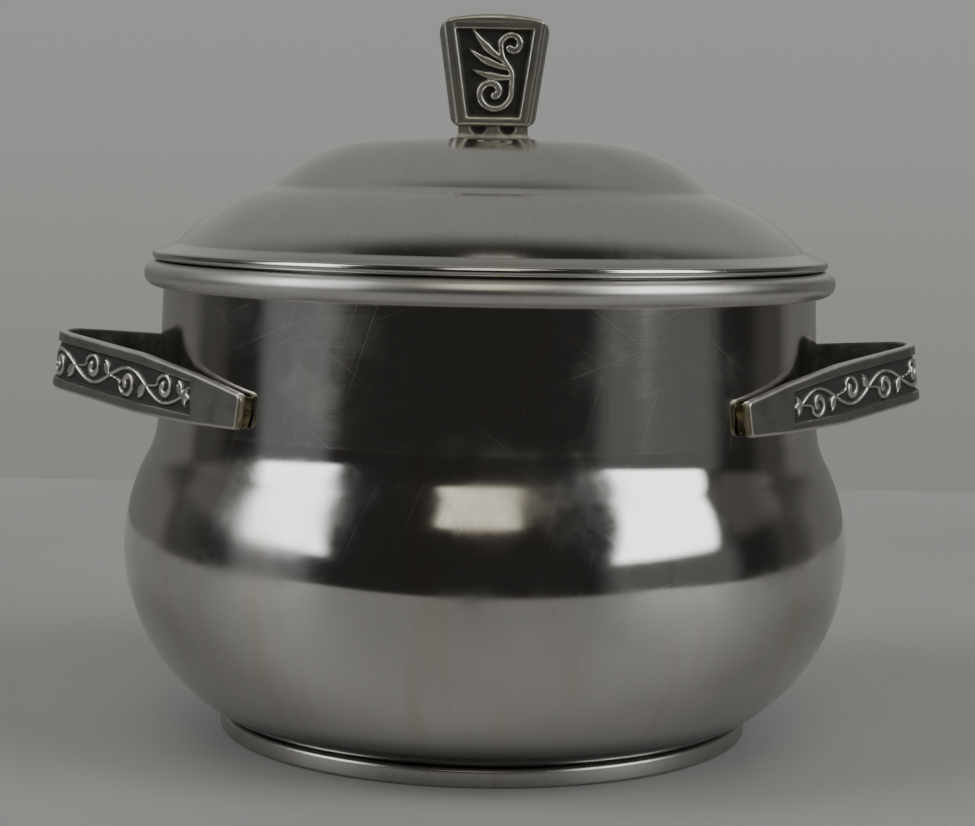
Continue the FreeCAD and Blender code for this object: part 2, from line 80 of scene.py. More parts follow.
# Lid.
LID_SHEET = 0.7
LID_REST_Z = LID_LOW.z
LID_TOP_Z = LID_HIGH.z
LID_EDGE_R = LID_HIGH.x
LID_EDGE_HEIGHT = 1.45
LID_HEM_WIDTH = 2.2
LID_DOME = (47.6, 73.86)
LID_CREASE = (33.8, 82.44)
LID_CREASE_BLEND = 0.7
LID_CREASE_INSET = (0.37, 0.63)
LID_LOWER_RADIUS = 28.26
LID_UPPER_RADIUS = 25.03
LID_FLAT_R = 15.8
LID_FILLET = 0.35
SCREW_HOLE_R = 1.7

# Faces round each turned piece.
AROUND = 288

# ---------------------------------------------------------------- mesh helpers


def arc(centre, radius, start, end, steps):
    """Points of an arc about centre, from start to end, in radians."""
    angles = np.linspace(start, end, steps + 1)
    return [(centre[0] + radius * math.cos(a), centre[1] + radius * math.sin(a)) for a in angles]


def angle_to(centre, point):
    """The direction of point as seen from centre."""
    return math.atan2(point[1] - centre[1], point[0] - centre[0])


def arc_through(start, end, radius, turn, steps):
    """The arc under 180 degrees from start to end; turn is +1 anticlockwise and -1 clockwise."""
    a, b = np.array(start, float), np.array(end, float)
    chord = b - a
    length = np.hypot(*chord)
    left = np.array([-chord[1], chord[0]]) / length
    centre = (a + b) / 2 + left * turn * math.sqrt(max(radius ** 2 - length ** 2 / 4, 0))
    first, last = angle_to(centre, a), angle_to(centre, b)
    while turn > 0 and last < first:
        last += 2 * math.pi
    while turn < 0 and last > first:
        last -= 2 * math.pi
    return arc(centre, radius, first, last, steps)


def joined(*runs):
    """One list of points from several runs, without repeating a shared end."""
    points = []
    for run in runs:
        for point in run:
            if not points or math.dist(points[-1], point) > 1e-6:
                points.append(point)
    return points


def make_object(name, vertices, faces, body, sharp=math.radians(30)):
    """A smooth-shaded piece from vertices in millimetres, riding on a body."""
    mesh = bpy.data.meshes.new(name)
    mesh.vertices.add(len(vertices))
    mesh.vertices.foreach_set("co", (np.asarray(vertices, float) * MM).ravel())
    sizes = np.array([len(face) for face in faces])
    mesh.loops.add(int(sizes.sum()))
    mesh.loops.foreach_set("vertex_index", np.concatenate([np.asarray(face) for face in faces]))
    mesh.polygons.add(len(faces))
    mesh.polygons.foreach_set("loop_start", np.concatenate([[0], np.cumsum(sizes)[:-1]]))
    mesh.update(calc_edges=True)
    mesh.validate()
    mesh.shade_smooth()
    mesh.set_sharp_from_angle(angle=sharp)
    piece = bpy.data.objects.new(name, mesh)
    bpy.context.scene.collection.objects.link(piece)
    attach(piece, body)
    return piece


def lathe(name, section, body):
    """Turn a closed section, given as (radius, height) going anticlockwise, about the bowl's axis."""
    rings = []
    vertices = []
    turns = np.linspace(0, 2 * math.pi, AROUND, endpoint=False)
    for radius, height in section:
        if radius < 1e-6:
            rings.append([len(vertices)])
            vertices.append((0.0, 0.0, height))
            continue
        rings.append(list(range(len(vertices), len(vertices) + AROUND)))
        vertices.extend((radius * math.cos(t), radius * math.sin(t), height) for t in turns)
    faces = []
    for ring, following in zip(rings, rings[1:] + rings[:1]):
        if len(ring) == 1 and len(following) == 1:
            continue
        for i in range(AROUND):
            j = (i + 1) % AROUND
            corners = [ring[i % len(ring)], ring[j % len(ring)]]
            corners += [following[j % len(following)], following[i % len(following)]]
            faces.append(list(dict.fromkeys(corners)))
    return make_object(name, vertices, faces, body)


# ---------------------------------------------------------------- bowl, foot ring and lid


def bowl_section():
    """The bowl's sheet: floor, belly, waist, neck and the hollow curl, then back down the inside."""
    belly = (BELLY_R, BELLY_Z)
    floor_r = BELLY_R + math.sqrt(BELLY_RADIUS ** 2 - (BELLY_Z - FLOOR_Z) ** 2)
    inside_z = FLOOR_Z + SHEET
    inside_r = BELLY_R + math.sqrt((BELLY_RADIUS - SHEET) ** 2 - (BELLY_Z - inside_z) ** 2)
    waist_r = NECK_BASE_R + WAIST_RADIUS
    rise = math.sqrt((BELLY_RADIUS + WAIST_RADIUS) ** 2 - (waist_r - BELLY_R) ** 2)
    waist = (waist_r, BELLY_Z + rise)
    turn = angle_to(belly, waist)
    curl = (MOUTH_R + CURL_RADIUS, CURL_Z)
    bore = CURL_RADIUS - SHEET
    outside = joined(
        [(0, FLOOR_Z), (floor_r, FLOOR_Z)],
        arc(belly, BELLY_RADIUS, angle_to(belly, (floor_r, FLOOR_Z)), turn, 72),
        arc(waist, WAIST_RADIUS, turn + math.pi, math.pi, 24),
        [(NECK_BASE_R, waist[1]), (NECK_TOP_R, CURL_Z)],
    )
    rim = joined(
        arc(curl, bore, math.pi, math.pi + CURL_END - 2 * math.pi, 20),
        arc(curl, CURL_RADIUS, math.pi + CURL_END - 2 * math.pi, math.pi, 44),
    )
    inside = joined(
        [(MOUTH_R, CURL_Z), (NECK_BASE_R - SHEET, waist[1])],
        arc(waist, WAIST_RADIUS + SHEET, math.pi, turn + math.pi, 20),
        arc(belly, BELLY_RADIUS - SHEET, turn, angle_to(belly, (inside_r, inside_z)), 48),
        [(0, inside_z)],
    )
    return joined(outside, rim, inside)


def foot_section():
    """The foot ring: flat underneath, rounded at its lower edge and shoulder, following the belly on top."""
    inner_r = FOOT_R - FOOT_WALL
    seat_r = FOOT_R - FOOT_SHOULDER

    def belly_z(radius):
        return BELLY_Z - math.sqrt(BELLY_RADIUS ** 2 - (radius - BELLY_R) ** 2)

    seat = (seat_r, belly_z(seat_r))
    return joined(
        [(inner_r, 0)],
        arc((FOOT_R - FOOT_EDGE, FOOT_EDGE), FOOT_EDGE, -math.pi / 2, 0, 6),
        arc_through((FOOT_R, seat[1] - FOOT_SHOULDER), seat, FOOT_SHOULDER, 1, 8),
        [seat, (inner_r, belly_z(inner_r))],
    )


def blended_crease():
    """The lid's outside from its lower dome's foot to the flat top, with the crease between domes eased."""
    lower = arc_through(LID_DOME, LID_CREASE, LID_LOWER_RADIUS, 1, 40)
    upper = arc_through(LID_CREASE, (LID_FLAT_R, LID_TOP_Z), LID_UPPER_RADIUS, 1, 44)
    before = [p for p in lower if math.dist(p, LID_CREASE) > LID_CREASE_BLEND]
    after = [p for p in upper if math.dist(p, LID_CREASE) > LID_CREASE_BLEND]
    start, end = np.array(before[-1]), np.array(after[0])
    corner = np.array(LID_CREASE)
    steps = np.linspace(0, 1, 9)[1:-1]
    eased = [tuple((1 - t) ** 2 * start + 2 * t * (1 - t) * corner + t ** 2 * end) for t in steps]
    return joined(before, eased, after)


def lid_section():
    """The lid's sheet: hemmed brim, lower dome, crease, upper dome and flat top."""
    edge = LID_EDGE_HEIGHT / 2
    brim_r = LID_EDGE_R - edge
    brim_z = LID_REST_Z + LID_EDGE_HEIGHT
    slope = (LID_DOME[1] - brim_z) / (brim_r - LID_DOME[0])
    hem_r = LID_EDGE_R - LID_HEM_WIDTH
    hem_z = LID_DOME[1] - (hem_r - LID_DOME[0]) * slope - LID_SHEET
    under = (LID_DOME[0] - LID_SHEET / 2, LID_DOME[1] + LID_SHEET / 2 * slope - LID_SHEET)
    inner_crease = (LID_CREASE[0] - LID_CREASE_INSET[0], LID_CREASE[1] - LID_CREASE_INSET[1])
    inner_top = LID_TOP_Z - LID_SHEET
    return joined(
        [(hem_r, hem_z), (hem_r, LID_REST_Z)],
        arc((brim_r, LID_REST_Z + edge), edge, -math.pi / 2, math.pi / 2, 18),
        [(LID_DOME[0] + 2 * LID_FILLET, LID_DOME[1] - 2 * LID_FILLET * slope + 0.04)],
        blended_crease(),
        [(SCREW_HOLE_R, LID_TOP_Z), (SCREW_HOLE_R, inner_top)],
        arc_through((LID_FLAT_R, inner_top), inner_crease, LID_UPPER_RADIUS - LID_SHEET, -1, 30),
        arc_through(inner_crease, under, LID_LOWER_RADIUS - LID_SHEET, -1, 30),
    )


# ---------------------------------------------------------------- relief ornament

PATH_STEPS = 9
SPIRAL_POINTS = 14
RIPPLE_WAVES = 9


def smooth_path(points):
    """A smooth curve through the given points, in PATH_STEPS steps from each to the next."""
    p = np.array([points[0], *points, points[-1]], float)
    t = np.linspace(0, 1, PATH_STEPS, endpoint=False)[:, None]
    spans = []
    for a, b, c, d in zip(p, p[1:], p[2:], p[3:]):
        spans.append(0.5 * (2 * b + (c - a) * t + (2 * a - 5 * b + 4 * c - d) * t ** 2
                            + (3 * b - a - 3 * c + d) * t ** 3))
    return np.vstack([*spans, p[-1:]])


def smooth_step(value, low, high):
    """A smooth change from 0 at low to 1 at high."""
    t = np.clip((value - low) / (high - low), 0, 1)
    return t * t * (3 - 2 * t)


def spiral(centre, radius, start, turns, shrink):
    """Points that wind in towards a centre from a starting angle; negative turns wind clockwise."""
    t = np.linspace(0, 1, SPIRAL_POINTS)
    angle = start + 2 * math.pi * turns * t
    reach = radius * (1 - shrink * t)
    return np.stack([centre[0] + reach * np.cos(angle), centre[1] + reach * np.sin(angle)], -1)


def leaf_points(start, length, angle, bend):
    """Points of a leaf that leaves its start at one angle and bends round by another, in radians."""
    t = np.linspace(0, 1, 4)
    turned = angle + bend * t
    return np.stack([start[0] + length * t * np.cos(turned), start[1] + length * t * np.sin(turned)], -1)


def ridge_height(place, strokes, breadth):
    """How far each place stands up on the strokes, from 0 beside them to 1 along their crests.

    A stroke is (points, half width at its start, at its middle, at its end); breadth widens them all.
    """
    height = np.zeros(len(place))
    for points, first, middle, last in strokes:
        path = smooth_path(points)
        t = np.linspace(0, 1, len(path))
        widths = np.interp(t, [0, 0.5, 1], [first, middle, last]) * breadth
        reach = widths.max()
        low, high = path.min(0) - reach, path.max(0) + reach
        near = np.where(((place > low) & (place < high)).all(1))[0]
        best = np.zeros(len(near))
        for a, b, wide_a, wide_b in zip(path, path[1:], widths, widths[1:]):
            along = b - a
            part = np.clip(((place[near] - a) @ along) / max(along @ along, 1e-9), 0, 1)
            gap = np.hypot(*(place[near] - a - part[:, None] * along).T)
            wide = np.maximum(wide_a + (wide_b - wide_a) * part, 0.02)
            best = np.maximum(best, smooth_step(1 - gap / wide, 0, 0.6) * np.clip(wide / 0.25, 0.35, 1))
        height[near] = np.maximum(height[near], best)
    return height


def rounding(inside, radius):
    """How far a rounded edge has fallen away at a distance inside it."""
    near = np.clip(radius - inside, 0, radius)
    return radius - np.sqrt(np.maximum(radius ** 2 - near ** 2, 0))


def ripple(x, y, size, seed):
    """A gentle wandering height, for the unevenness of a casting."""
    chance = np.random.default_rng(seed)
    total = np.zeros(np.broadcast(x, y).shape)
    for _ in range(RIPPLE_WAVES):
        wave = chance.normal(size=2) / size
        total += np.sin(wave[0] * x + wave[1] * y + chance.uniform(0, 2 * math.pi))
    return total / RIPPLE_WAVES


# ---------------------------------------------------------------- handles

HANDLE_REACH = 66.1
HANDLE_Z = 55.9
HANDLE_TILT = math.radians(7.6)
LEG_ANGLE = math.radians(41.9)
LEG_R = 51.72
LEG_TAIL = 5.3
STRAP = 1.4
FULL_HEIGHT = 8.8
PANEL_END_HEIGHT = 7.1
END_HEIGHT = 4.9
TAB_LENGTH = 7.2 / math.sin(LEG_ANGLE)
TAPER_LENGTH = 9.0 / math.sin(LEG_ANGLE)
RECESS = 0.5
STRAP_EDGE = 0.5
PANEL_BORDER = (1.2, 1.55)
PANEL_GAP = 0.4
PANEL_SLANT = 0.18
REAR_ROWS = (1.0, 0.93, 0.5, 0.0, -0.5, -0.93, -1.0)
REAR_CHAMFER = 0.25

# Patina is 1 where it is darkest and 0 on plain metal, and painted shade uses the same scale. From 0 down to
# -RUBBED the metal is rubbed bright.
RUBBED = 0.3
# The handle's inner face, turned to the bowl, is painted dark: painted shade. Its edges are rubbed bright.
REAR_PAINTED_SHADE = 0.62
REAR_EDGE_PATINA = -0.2

# The strap's plan and panel, worked out from the sizes above.
TIP_RADIUS = (LEG_R - HANDLE_REACH * math.cos(LEG_ANGLE)) / (1 - math.cos(LEG_ANGLE))
LEG_LENGTH = LEG_TAIL + (HANDLE_REACH - TIP_RADIUS) * math.sin(LEG_ANGLE)
STRAP_LENGTH = 2 * LEG_LENGTH + 2 * LEG_ANGLE * TIP_RADIUS
PANEL_LENGTH = STRAP_LENGTH - 2 * TAB_LENGTH

# The running vine in the sunk panel: its bends, each holding a curled tendril, have leaves between them.
# Widths are half widths, at a stroke's start, middle and end. BEND_LEAVES are (length, angle in degrees from
# the panel's length, bend in radians), and are mirrored on every second bend.
VINE_BENDS = 8
VINE_MARGIN = 2.5
VINE_SWING = 1.75
VINE_BREADTH = 1.3
VINE_RELIEF = 0.42
STEM_WIDTHS = (0.26, 0.3, 0.26)
TENDRIL_RADIUS = 2.0
TENDRIL_TURNS = 1.08
TENDRIL_SHRINK = 0.72
TENDRIL_SIDESTEP = 0.45
TENDRIL_WIDTHS = (0.18, 0.4, 0.62)
LEAF_WIDTHS = (0.25, 0.58, 0.05)
BEND_LEAVES = [(2.5, -105, -0.3), (2.1, -150, 0.3)]
LEAF_SETBACK = 0.2
END_LEAF = 1.8
END_LEAF_FANS = (-0.9, 0.0, 0.9)


def vine_leaf(start, length, angle, bend):
    """The stroke of one pointed leaf on the vine."""
    return (leaf_points(start, length, angle, bend), *LEAF_WIDTHS)


def vine(length):
    """Strokes of a running vine that swings from side to side along a panel."""
    bend_length = (length - 2 * VINE_MARGIN) / VINE_BENDS
    along = np.linspace(VINE_MARGIN, length - VINE_MARGIN, 6 * VINE_BENDS + 1)
    swing = VINE_SWING * np.sin(math.pi * (along - VINE_MARGIN) / bend_length)
    strokes = [(np.stack([along, swing], -1), *STEM_WIDTHS)]
    for bend in range(VINE_BENDS):
        side = 1 - 2 * (bend % 2)
        begin = (VINE_MARGIN + bend * bend_length, 0.0)
        middle = (begin[0] + bend_length / 2, -TENDRIL_SIDESTEP * side)
        curl = spiral(middle, TENDRIL_RADIUS, math.pi, side * TENDRIL_TURNS, TENDRIL_SHRINK)
        strokes.append((np.vstack([begin, curl]), *TENDRIL_WIDTHS))
        root = (begin[0] + bend_length - LEAF_SETBACK, 0.0)
        for reach, angle, bent in BEND_LEAVES:
            strokes.append(vine_leaf(root, reach, side * math.radians(angle), side * bent))
    for root, way in (((VINE_MARGIN, 0.0), math.pi), ((length - VINE_MARGIN, 0.0), 0.0)):
        for fan in END_LEAF_FANS:
            strokes.append(vine_leaf(root, END_LEAF, way + fan, 0.0))
    return strokes


def handle_plan(along):
    """Plan position of the strap's outer face at a distance from its front end, and its outward direction."""
    turn = np.clip((along - LEG_LENGTH) / TIP_RADIUS - LEG_ANGLE, -LEG_ANGLE, LEG_ANGLE)
    out = np.stack([np.cos(turn), np.sin(turn)], -1)
    forward = np.stack([-np.sin(turn), np.cos(turn)], -1)
    centre = np.array([HANDLE_REACH - TIP_RADIUS, 0.0])
    behind = np.minimum(along - LEG_LENGTH, 0)
    beyond = np.maximum(along - (STRAP_LENGTH - LEG_LENGTH), 0)
    return centre + TIP_RADIUS * out + (behind + beyond)[..., None] * forward, out


def handle_space(plan, height, turn):
    """From a handle's own tilted plane to the bowl's frame; turn is 0 on the right and pi on the left."""
    flat = HANDLE_REACH - plan[..., 0]
    x = HANDLE_REACH - flat * math.cos(HANDLE_TILT) - height * math.sin(HANDLE_TILT)
    z = HANDLE_Z - flat * math.sin(HANDLE_TILT) + height * math.cos(HANDLE_TILT)
    side = math.cos(turn)
    return np.stack([x * side, plan[..., 1] * side, z], -1)


def strap_half_height(along):
    """Half the strap's height, which tapers towards both ends and is rounded at its corners."""
    end = np.minimum(along, STRAP_LENGTH - along)
    marks = [0, TAB_LENGTH, TAB_LENGTH + TAPER_LENGTH]
    half = np.interp(end, marks, [END_HEIGHT / 2, PANEL_END_HEIGHT / 2, FULL_HEIGHT / 2])
    return half - rounding(end, 1.0)


def strap_face(along, height):
    """How far the outer face lies behind the plain strap, and its patina, at each place."""
    end = np.minimum(along, STRAP_LENGTH - along)
    half = strap_half_height(along)
    spot = along - TAB_LENGTH
    border = np.interp(end, [TAB_LENGTH, TAB_LENGTH + TAPER_LENGTH], PANEL_BORDER)
    inside = np.minimum(half - border - np.abs(height), end - TAB_LENGTH - PANEL_GAP - PANEL_SLANT * height)
    sunk = smooth_step(inside, 0.0, 0.28)
    place = np.stack([spot.ravel(), height.ravel()], -1)
    ridge = ridge_height(place, vine(PANEL_LENGTH), VINE_BREADTH).reshape(along.shape)
    ridge = ridge * smooth_step(inside, 0.02, 0.3)
    pitted = 0.035 * ripple(along * 6, height * 6, 1.0, 3) * sunk * (1 - ridge)
    worn = 0.05 * ripple(along, height, 3.0, 5)
    edge = np.minimum(half - np.abs(height), end)
    dark = smooth_step(sunk * (1 - 0.92 * ridge), 0.25, 0.85)
    rubbed = np.maximum(ridge * sunk, smooth_step(-edge, -0.55, -0.1))
    behind = rounding(edge, STRAP_EDGE) + (RECESS - VINE_RELIEF * ridge) * sunk + pitted + np.abs(worn)
    return behind, dark - RUBBED * rubbed


def grid_faces(columns, rows, closed):
    """Quads over a grid of vertices numbered column by column; closed joins its last row to its first."""
    column, row = np.meshgrid(np.arange(columns - 1), np.arange(rows - (0 if closed else 1)), indexing="ij")
    here, there = column * rows, (column + 1) * rows
    up = (row + 1) % rows
    return np.stack([here + row, there + row, there + up, here + up], -1).reshape(-1, 4)


def set_tone(piece, name, amount):
    """Keep an amount at each vertex under a name, for the material to read."""
    layer = piece.data.attributes.new(name, "FLOAT", "POINT")
    layer.data.foreach_set("value", np.asarray(amount, np.float32).ravel())


def make_handle(name, turn, columns=720, rows=62):
    """A cast strap handle with the vine standing in its sunk panel."""
    spread = np.linspace(0, STRAP_LENGTH, columns)
    along, share = np.meshgrid(spread, np.linspace(-1, 1, rows), indexing="ij")
    height = strap_half_height(along) * share
    back, dark = strap_face(along, height)
    plan, out = handle_plan(along)
    face = handle_space(plan - out * back[..., None], height, turn)
    around, across = np.meshgrid(spread, np.array(REAR_ROWS), indexing="ij")
    at_edge = np.abs(across) > 0.99
    plan, out = handle_plan(around)
    deep = STRAP - REAR_CHAMFER * at_edge
    rear = handle_space(plan - out * deep[..., None], strap_half_height(around) * across, turn)
    vertices = np.concatenate([face, rear], axis=1)
    loop = vertices.shape[1]
    faces = list(grid_faces(columns, loop, True))
    faces.append(list(range(loop)))
    faces.append(list(range(columns * loop - 1, (columns - 1) * loop - 1, -1)))
    piece = make_object(name, vertices.reshape(-1, 3), faces, "bowl", math.radians(50))
    # Painted shade on the inner face, rubbed bright along its edges.
    rear_shade_and_rubbing = np.where(at_edge, REAR_EDGE_PATINA, REAR_PAINTED_SHADE)
    set_tone(piece, "patina_and_painted_shade", np.concatenate([dark, rear_shade_and_rubbing], axis=1))
    end = np.minimum(spread, STRAP_LENGTH - spread)[:, None]
    brazed = np.concatenate([smooth_step(-end, -0.5, -0.1) * np.ones(dark.shape),
                             smooth_step(-end, -2.2, -1.0) * np.ones(across.shape)], axis=1)
    set_tone(piece, "brass", brazed)
    return piece


def wall_radius(height):
    """Radius of the bowl's neck at a height."""
    rise = math.sqrt((BELLY_RADIUS + WAIST_RADIUS) ** 2 - (NECK_BASE_R + WAIST_RADIUS - BELLY_R) ** 2)
    share = (height - BELLY_Z - rise) / (CURL_Z - BELLY_Z - rise)
    return NECK_BASE_R + (NECK_TOP_R - NECK_BASE_R) * share


# Braze: how far from the leg's middle it starts and thins, half its height, and its middle's drop.
BRAZE_START = 2.1
BRAZE_INNER = LEG_TAIL - 1.6
BRAZE_HALF = 2.15
BRAZE_DROP = 3.6


def make_braze(name, turn, rows=40, steps=10):
    """The two fillets of braze behind a handle's tabs, hollow at their ends, where they ran down the neck."""
    vertices = []
    faces = []
    for side in (-1, 1):
        first = len(vertices)
        for row in range(rows):
            share = 2 * row / (rows - 1) - 1
            height = share * BRAZE_HALF
            plump = 1 - 0.55 * abs(share) ** 3
            reach = LEG_TAIL + (0.5 + 0.1 * math.sin(5 * share + 2 * side)) * plump
            wall = wall_radius(HANDLE_Z - BRAZE_DROP + height) + 0.02
            face_r = LEG_R - STRAP
            lip = face_r + (0.35 + 0.1 * math.sin(4 * share + side)) * plump
            section = [(BRAZE_START, face_r), (LEG_TAIL - 0.05, face_r), (LEG_TAIL - 0.02, lip)]
            foot = math.sqrt(wall ** 2 - reach ** 2)
            for t in np.linspace(0, 1, steps)[1:]:
                hollow = (1 - t) ** 2
                across = LEG_TAIL + (reach - LEG_TAIL) * (1 - hollow)
                section.append((across, foot + (lip - foot) * hollow))
            section.append((BRAZE_INNER, math.sqrt(wall ** 2 - BRAZE_INNER ** 2)))
            section.append((BRAZE_START, math.sqrt(wall ** 2 - BRAZE_START ** 2)))
            for along, radius in section:
                x = radius * math.cos(LEG_ANGLE) - along * math.sin(LEG_ANGLE)
                y = side * (radius * math.sin(LEG_ANGLE) + along * math.cos(LEG_ANGLE))
                vertices.append(handle_space(np.array([x, y]), height, turn))
        loop = len(section)
        for a, b, c, d in grid_faces(rows, loop, True):
            corners = [first + int(i) for i in (a, b, c, d)]
            faces.append(corners if side < 0 else corners[::-1])
        start, end = list(range(first, first + loop)), list(range(len(vertices) - loop, len(vertices)))
        faces.append(start[::-1] if side > 0 else start)
        faces.append(end if side > 0 else end[::-1])
    return make_object(name, vertices, faces, "bowl", math.radians(45))


# ---------------------------------------------------------------- knob

KNOB_HIGH = node_box("knob")[1]
KNOB_BASE_Z = 92.0
KNOB_SHOULDER_Z = 107.9
KNOB_CROWN_Z = KNOB_HIGH.z
KNOB_BASE_HALF = 6.3
KNOB_TOP_HALF = 8.6
KNOB_HALF_DEPTH = KNOB_HIGH.y
KNOB_FLANK = 1.15
KNOB_EDGE = 0.75
KNOB_RECESS = 0.8
KNOB_BORDER = 1.3
KNOB_PANEL_FOOT = 1.35
KNOB_PANEL_HEAD = 1.15
SCROLL_BREADTH = 1.4
SCROLL_RELIEF = 0.62
KNOB_FOOT_HALF = (5.7, 2.2)
KNOB_FOOT_WAIST = (5.25, 1.95)

# The scroll, sideways from the knob's middle and up from its base. Spirals are (centre, radius, start, turns,
# shrink), leaves are (start, length, angle in degrees), and widths are half widths as on the vine.
LOWER_SPIRAL = ((-0.2, 5.1), 3.0, 0.3, -1.2, 0.8)
UPPER_SPIRAL = ((2.7, 12.3), 1.75, math.pi, -0.85, 0.6)
SCROLL_MIDDLE = [(2.6, 8.2), (1.3, 10.3)]
SCROLL_WIDTHS = (0.62, 0.42, 0.6)
SCROLL_LEAVES = [((1.5, 9.9), 6.8, 150), ((2.3, 8.7), 6.9, 169), ((2.8, 7.4), 6.3, 184)]
SCROLL_LEAF_BEND = -0.25
SCROLL_LEAF_WIDTHS = (0.35, 0.66, 0.06)


def knob_scroll():
    """Strokes of an S-shaped scroll with leaves on one side."""
    stem = np.vstack([spiral(*LOWER_SPIRAL)[::-1], SCROLL_MIDDLE, spiral(*UPPER_SPIRAL)])
    strokes = [(stem, *SCROLL_WIDTHS)]
    for start, length, angle in SCROLL_LEAVES:
        points = leaf_points(start, length, math.radians(angle), SCROLL_LEAF_BEND)
        strokes.append((points, *SCROLL_LEAF_WIDTHS))
    return strokes


def knob_half(height):
    """Half the knob's width at a height, at its thickest."""
    share = (height - KNOB_BASE_Z) / (KNOB_SHOULDER_Z - KNOB_BASE_Z)
    return KNOB_BASE_HALF + (KNOB_TOP_HALF - KNOB_BASE_HALF) * np.clip(share, 0, 1)


def knob_face(side, height):
    """How far the knob's face is sunk, and how dark its patina is, at each place."""
    half = knob_half(height) - KNOB_FLANK
    slope = math.hypot(1, (KNOB_TOP_HALF - KNOB_BASE_HALF) / (KNOB_SHOULDER_Z - KNOB_BASE_Z))
    lateral = (half - KNOB_BORDER - np.abs(side)) / slope
    upright = np.minimum(height - KNOB_BASE_Z - KNOB_PANEL_FOOT, KNOB_SHOULDER_Z - KNOB_PANEL_HEAD - height)
    inside = np.minimum(lateral, upright)
    sunk = smooth_step(inside, -0.05, 0.45)
    place = np.stack([side.ravel(), height.ravel() - KNOB_BASE_Z], -1)
    ridge = ridge_height(place, knob_scroll(), SCROLL_BREADTH).reshape(side.shape)
    ridge = ridge * smooth_step(inside, 0.0, 0.4)
    pitted = 0.03 * ripple(side * 6, height * 6, 1.0, 11) * sunk
    dark = smooth_step(sunk * (1 - 0.85 * ridge), 0.2, 0.85) - 0.16 * ridge * sunk
    from_ends = np.minimum(height - KNOB_BASE_Z, KNOB_CROWN_Z - height)
    rim = np.clip(np.minimum(half - np.abs(side), from_ends) / 1.4, 0, 1)
    bowed = 0.12 * (2 * rim - 1) ** 2 * (1 - sunk)
    uneven = 0.03 * (1 + ripple(side, height, 3.0, 13))
    return (KNOB_RECESS - SCROLL_RELIEF * ridge) * sunk + pitted + bowed + uneven, dark


def knob_rows():
    """Rows up the knob, from its foot to its crown, as (part, share, upper).

    Share is how far up its part a row is, from 0 to 1. On an edge it is the angle round the rounding instead,
    and upper is 1 on the knob's top edge and 0 on its bottom one.
    """
    rows = []
    for t in np.linspace(0, 1, 16):
        rows.append(("foot", t, 0.0))
    for angle in np.linspace(-80, 0, 6):
        rows.append(("edge", math.radians(angle), 0.0))
    for t in np.linspace(0, 1, 124)[1:-1]:
        rows.append(("body", t, 0.0))
    for angle in np.linspace(0, 78, 8):
        rows.append(("edge", math.radians(angle), 1.0))
    return rows


def knob_foot_ring(share, across, flank):
    """One ring round the knob's small foot: front and right side, with its patina and painted shade in the
    arches under the bar.
    """
    waist = float(smooth_step(np.array(share), 0.0, 0.5))
    half = KNOB_FOOT_HALF[0] + (KNOB_FOOT_WAIST[0] - KNOB_FOOT_HALF[0]) * waist
    deep = KNOB_FOOT_HALF[1] + (KNOB_FOOT_WAIST[1] - KNOB_FOOT_HALF[1]) * waist
    side = across * half
    spread = np.abs(np.abs(side) - 2.2)
    arch = smooth_step(1.5 - spread - 1.6 * max(0.0, 0.75 - share), 0.0, 0.9)
    arch = arch * smooth_step(np.array(share), 0.3, 0.6)
    x = np.concatenate([side, np.full(len(flank), half)])
    y = np.concatenate([0.6 * arch - deep, deep * np.sin(flank)])
    z = np.full(len(x), LID_TOP_Z + 0.02 + share * (KNOB_BASE_Z - LID_TOP_Z))
    # The arches get painted shade under the bar, on top of the foot's patina.
    return np.stack([x, y, z], -1), np.concatenate([0.48 + 0.3 * arch, np.full(len(flank), 0.35)])


def knob_ring(part, share, upper, across, flank):
    """One ring round the knob: its front face and its right flank, with its patina, and on the foot painted
    shade in the arches.
    """
    if part == "foot":
        return knob_foot_ring(share, across, flank)
    bow = np.concatenate([np.zeros(len(across)), KNOB_FLANK * np.cos(flank)])
    face = np.concatenate([across, np.ones(len(flank))])
    widest = np.abs(face) * (KNOB_TOP_HALF - KNOB_FLANK) + bow
    corner = KNOB_TOP_HALF - widest
    top = KNOB_SHOULDER_Z + (KNOB_CROWN_Z - KNOB_SHOULDER_Z) * (1 - (widest / KNOB_TOP_HALF) ** 2)
    top = top - rounding(corner, 1.5)
    low = KNOB_BASE_Z + rounding(corner, 0.7)
    drawn = KNOB_EDGE * (1 - math.cos(share)) if part == "edge" else 0.0
    height = low + KNOB_EDGE + share * (top - low - 2 * KNOB_EDGE)
    if part == "edge":
        height = top - KNOB_EDGE * (1 - math.sin(share)) if upper else low + KNOB_EDGE * (1 + math.sin(share))
    x = face * (knob_half(height) - KNOB_FLANK - drawn) + bow
    sunk, dark = knob_face(x[:len(across)], height[:len(across)])
    y = np.concatenate([sunk - KNOB_HALF_DEPTH + drawn, (KNOB_HALF_DEPTH - drawn) * np.sin(flank)])
    return np.stack([x, y, height], -1), np.concatenate([dark, np.full(len(flank), 0.3)])


